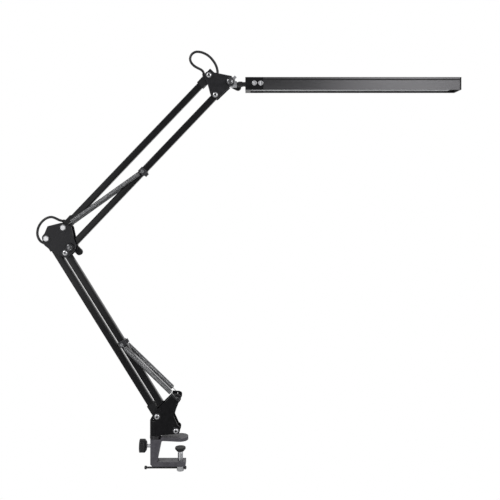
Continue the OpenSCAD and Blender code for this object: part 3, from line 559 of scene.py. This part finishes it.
def square_tube(name, pivot, tilt, length):
    """A hollow tube with rounded corners and rounded open ends, which goes a little past its pivots.

    length is from pivot to pivot in millimetres, and tilt is in degrees from the level.
    """
    bpy.ops.mesh.primitive_cube_add(size=1)
    tube = bpy.context.object
    tube.name = name
    tube.data.name = name
    tube.scale = ((length + 2 * tube_past) * mm, tube_side * mm, tube_side * mm)
    bpy.ops.object.transform_apply(scale=True)
    bpy.ops.object.mode_set(mode="EDIT")
    bpy.ops.mesh.select_mode(type="EDGE")
    for across, radius, steps in ((True, end_round * mm, 6), (False, corner_round * mm, 5)):
        bpy.ops.mesh.select_all(action="DESELECT")
        form = bmesh.from_edit_mesh(tube.data)
        for edge in form.edges:
            wide = abs(edge.verts[0].co.y - edge.verts[1].co.y)
            edge.select = (wide > (tube_side - tube_wall) * mm) == across
        bpy.ops.mesh.bevel(offset=radius, segments=steps, profile=0.5)
    bpy.ops.object.mode_set(mode="OBJECT")
    bpy.ops.mesh.primitive_cube_add(size=1)
    hollow = bpy.context.object
    inside = tube_side - 2 * tube_wall
    hollow.scale = ((length + 2 * hollow_past) * mm, inside * mm, inside * mm)
    bpy.ops.object.transform_apply(scale=True)
    cut_out(tube, hollow, smooth=30)
    place(tube, length / 2, 0, 0)
    return place(tube, pivot[0], 0, pivot[1], turn=(0, -tilt, 0))


tube_paint = coated("tube_paint", dark=(0.003, 0.0029, 0.0034), light=(0.006, 0.0058, 0.0067),
                    rough=(0.2, 0.3), grain=1500, depth=0.06, wear_and_highlight=0.5, gloss=0.25)
for name, body, pivot, tilt, length in (
        ("lower_main", "lower_arm", pivots["base"][0], lower_tilt, 314),
        ("lower_follower", "lower_follower", pivots["base"][1], lower_tilt, 314),
        ("upper_main", "upper_arm", pivots["elbow"][2], upper_tilt, 316),
        ("upper_follower", "upper_follower", elbow_clamp, upper_tilt, 316)):
    tube = square_tube(name + "_bar", pivot, tilt, length)
    fit(tube, tube_paint, "paint", body, name + "_tube")

# End sleeves and cable glands
# Moulded sleeves over the main tubes' ends, with short slanting glands where the cable comes out.
sleeve_plastic = coated("sleeve_plastic", dark=(0.004, 0.004, 0.0046), light=(0.0085, 0.0085, 0.0093),
                        rough=(0.4, 0.56), grain=1400, depth=0.14, wear_and_highlight=0.25)
for arm in ("lower", "upper"):
    sleeves = eased(arm + "_sleeves", arm + "_end_sleeves", 0.5)
    fit(sleeves, sleeve_plastic, "black_plastic", arm + "_arm", arm + "_sleeves")
for node, body in (("lower_cable_gland", "lower_arm"), ("upper_cable_glands", "upper_arm")):
    bush = eased(node, node + "_bush", 0.3, steps=2)
    fit(bush, sleeve_plastic, "black_plastic", body, node)

# Spring clips, eyes and links
# A pressed band round each follower tube, with studs that the springs' riveted ends hook on.
clip_paint = coated("clip_paint", dark=(0.03, 0.03, 0.032), light=(0.055, 0.055, 0.06),
                    rough=(0.3, 0.46), grain=1700, depth=0.08, wear_and_highlight=0.5)
spring_wire = coated("spring_wire", dark=(0.2, 0.202, 0.206), light=(0.34, 0.342, 0.348),
                     rough=(0.26, 0.4), grain=2200, depth=0.04, metal=1.0)
for arm in ("lower", "upper"):
    band = eased(arm + "_spring_clip", arm + "_clip_band", 0.3, steps=2)
    fit(band, clip_paint, "dark_steel", arm + "_follower", arm + "_spring_clip")
    eyes = eased(arm + "_spring_eyes", arm + "_hook_eyes", 0.12, steps=2)
    fit(eyes, spring_wire, "spring_steel", arm + "_springs", arm + "_spring_eyes")
    links = eased(arm + "_spring_links", arm + "_rivet_links", 0.12, steps=2)
    fit(links, spring_wire, "spring_steel", arm + "_links", arm + "_spring_links")

# Balance springs
# Two wound extension springs on each arm, one in front and one behind: 0.9 mm wire, 7.3 mm across
# on the lower arm and 6.9 mm on the upper one, where the coil's edge meets the eye.
wire_width = 0.9
wire_sides = 7
wire_from_pin = 4.4
coil_from_link = 6
turn_points = 14
taper_points = 9
springs = {
    "lower": {"eye": (-2.6, 64.2), "tilt": 136, "length": 116.4, "start": 14, "turns": 101,
              "radius": 3.2, "side": 13.2, "eye_in": 0},
    "upper": {"eye": pivots["elbow"][2], "tilt": 35.5, "length": 145.5, "start": 15, "turns": 131,
              "radius": 3, "side": 9.4, "eye_in": 3}}


def wound(name, facing, eye, tilt, length, start, turns, radius, side, eye_in):
    """A spring from its eye, at x and z, to its link.

    start is where the coil begins, side is how far it lies from the arm's middle, and eye_in is how
    much nearer to the middle the eye is. All are in millimetres.
    """
    line = [Vector((far * mm, (side - eye_in) * mm, 0)) for far in (wire_from_pin, start - 4, start - 2)]
    coil = length - start - coil_from_link
    count = turns * turn_points
    for i in range(count + 1):
        opening = 1 if eye_in else min(1, i / taper_points)
        closing = min(1, (count - i) / taper_points)
        a = math.pi + 2 * math.pi * i / turn_points
        wide = radius * opening * closing
        line.append(Vector(((start + coil * i / count) * mm, (side + wide * math.cos(a)) * mm,
                            wide * math.sin(a) * mm)))
    line += [Vector(((length - wire_from_pin - back) * mm, side * mm, 0)) for back in (1, 0.5, 0)]
    turn = (Matrix.Translation((eye[0] * mm, 0, eye[1] * mm))
            @ Matrix.Rotation(math.radians(-tilt), 4, "Y"))
    line = [turn @ Vector((p.x, p.y * facing, p.z)) for p in line]
    return drawn_wire(name, line, wire_width * mm, wire_sides), line[0], line[-1]


for arm, sizes in springs.items():
    for where, facing in (("front", -1), ("rear", 1)):
        spring, eye, link = wound(f"{arm}_coil_{where}", facing, **sizes)
        dress(spring, spring_wire)
        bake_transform(spring)
        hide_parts(f"{arm}_spring_{where}")

# Elbow and top brackets
# Pairs of stamped steel plates with rounded corners, painted satin black.
satin_paint = coated("satin_paint", dark=(0.007, 0.0068, 0.008), light=(0.0135, 0.013, 0.0155),
                     rough=(0.3, 0.44), grain=1700, depth=0.08, wear_and_highlight=0.55)
for bracket in ("elbow", "top"):
    for where in ("front", "rear"):
        node = f"{bracket}_plate_{where}"
        fit(eased(node, node + "_stamping", 0.35), satin_paint, "paint", bracket, node)

# Clamping bolts with domed heads
# A black cup washer with a polished domed head in it, on a bolt that clamps the plates together.
washer_line = [(6.3, 9.2), (6.3, 10.5), (6.15, 11.2), (5.8, 11.75), (5.45, 12.1), (5.1, 12.15),
               (4.9, 11.7)]
dome_line = [(4.7, 11.2), (4.7, 12.15), (4.45, 12.55), (4, 12.72), (3.7, 12.6), (3.4, 12.75),
             (2.8, 12.98), (2, 13.12), (1, 13.2), (0.2, 13.2)]
rod_line = [(2.5, -9.3), (2.5, 9)] + thread(radius=2.5, start=9.2, end=17.4, pitch=0.8)
tilt_pivot = (75.3, 538.9)
dome_chrome = coated("dome_chrome", dark=(0.12, 0.12, 0.124), light=(0.22, 0.22, 0.225),
                     rough=(0.06, 0.14), grain=1200, depth=0.03, metal=1.0)
for name, (x, z), body, node in (("elbow", elbow_clamp, "elbow", "elbow_clamp_bolt"),
                                 ("tilt", tilt_pivot, "top", "tilt_bolt")):
    cap = turned("cap", washer_line)
    place(cap, 0, 0, 0, turn=(90, 0, 0))
    dome = turned(name + "_polished_dome", dome_line)
    place(dome, 0, 0, 0, turn=(90, 0, 0))
    place(dome, x, 0, z)
    fit(dome, dome_chrome, "nickel", body)
    rod = turned("rod", rod_line, corners=32)
    place(rod, 0, 0, 0, turn=(-90, 0, 0))
    bolt = together(name + "_domed_bolt", [cap, rod])
    place(bolt, x, 0, z)
    fit(bolt, gloss_black, "dark_steel", body, node)

# Wing knobs
# Moulded plastic knobs with one long and one short lobe behind the elbow and the tilt pivot.
for node, body in (("elbow_wing_knob", "elbow_knob"), ("tilt_wing_knob", "tilt_knob")):
    wing = eased(node, node + "_moulding", 1.1, steps=4)
    fit(wing, knob_plastic, "black_plastic", body, node)

# Cable saddle on the top bracket
# A small moulded bush on a cross bar between the plates, where the cable goes down to the head.
saddle = eased("top_cable_saddle", "cable_saddle_bush", 0.3)
fit(saddle, sleeve_plastic, "black_plastic", "top", "top_cable_saddle")

# Knuckle, stem and its collar
# A plated knuckle turns on the tilt bolt and holds the black stem that goes into the head.
polished = coated("polished_knuckle", dark=(0.42, 0.42, 0.43), light=(0.6, 0.6, 0.61),
                  rough=(0.12, 0.24), grain=1800, depth=0.03, metal=1.0)
knuckle = eased("head_knuckle", "tilt_knuckle", 0.5)
fit(knuckle, polished, "nickel", "knuckle", "head_knuckle")
stem = eased("head_stem", "swivel_stem", 0.4)
fit(stem, gloss_black, "dark_steel", "knuckle", "head_stem")
ring = eased("stem_collar", "stem_ring", 0.35)
fit(ring, gloss_black, "dark_steel", "knuckle", "stem_collar")

# Head
# An extruded aluminium channel, anodised dark, with a groove along each side, a wide moulded cover
# at the stem's end, a thin cap at the far end and two plated screws.
anodised = coated("anodised_head", dark=(0.062, 0.061, 0.0635), light=(0.076, 0.075, 0.078),
                  rough=(0.27, 0.33), grain=2400, depth=0.05, metal=1.0, stretch=(0.06, 1, 1), wear_and_highlight=0.4)
channel = eased("head_housing", "head_channel", 0.4)
fit(channel, anodised, "head_aluminium", "head", "head_housing")
# Two thin black strips on the side grooves' floors are a painted shadow of the grooves.
groove_down = 3.8
groove_high = 1.2
groove_deep = 0.5
shadow_strip_thick = 0.1
shadow_strip_in = 0.2
low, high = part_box("head_housing")
shadow_strips = []
for y in (low[1] + groove_deep * mm, high[1] - groove_deep * mm):
    bpy.ops.mesh.primitive_cube_add(
        size=1, location=((low[0] + high[0]) / 2, y, high[2] - groove_down * mm))
    shadow_strip = bpy.context.object
    shadow_strip.scale = (high[0] - low[0] - 2 * shadow_strip_in * mm, shadow_strip_thick * mm, groove_high * mm)
    bpy.ops.object.transform_apply(location=True, scale=True)
    shadow_strips.append(shadow_strip)
fit(together("groove_shadow_strips", shadow_strips), painted_shade_black, "dark_steel", "head")
# The cover's strongly pale edges are a painted highlight along its rounded edges.
cover_plastic = coated("cover_plastic", dark=(0.005, 0.005, 0.0055), light=(0.0105, 0.0104, 0.0115),
                       rough=(0.26, 0.4), grain=1400, depth=0.08, wear_and_highlight=0.8, gloss=0.12, bare_and_highlight=0.09)
cover = eased("head_end_cover", "head_cover_moulding", 0.5)
fit(cover, cover_plastic, "head_cover", "head", "head_end_cover")
end_cap = eased("head_end_cap", "head_cap_moulding", 0.4)
fit(end_cap, cover_plastic, "head_cover", "head", "head_end_cap")
slotted = eased("head_end_screws", "slotted_screws", 0.3)
fit(slotted, bright_plate, "nickel", "head", "head_end_screws")
block = eased("head_joint_block", "stem_block", 0.5)
fit(block, anodised, "head_aluminium", "head", "head_joint_block")

# Light
# A white circuit board with a row of light emitting chips over a recessed milky diffuser.
board_white = coated("board_white", dark=(0.7, 0.7, 0.68), light=(0.8, 0.8, 0.78),
                     rough=(0.3, 0.45), grain=900, depth=0.03)
board = eased("led_board", "chip_board", 0.1, steps=1)
fit(board, board_white, "board", "head", "led_board")
chip_yellow = coated("chip_yellow", dark=(0.85, 0.78, 0.42), light=(0.92, 0.86, 0.52),
                     rough=(0.25, 0.4), grain=900, depth=0.03)
chips = eased("led_chips", "chip_row", 0.08, steps=1)
fit(chips, chip_yellow, "chips", "head", "led_chips")
milky = coated("milky_diffuser", dark=(0.8, 0.81, 0.82), light=(0.86, 0.87, 0.88),
               rough=(0.28, 0.42), grain=1200, depth=0.04)
milky.node_tree.nodes["Principled BSDF"].inputs["Transmission Weight"].default_value = 0.15
diffuser = eased("diffuser", "milky_strip", 0.25, steps=2)
fit(diffuser, milky, "diffuser_white", "head", "diffuser")
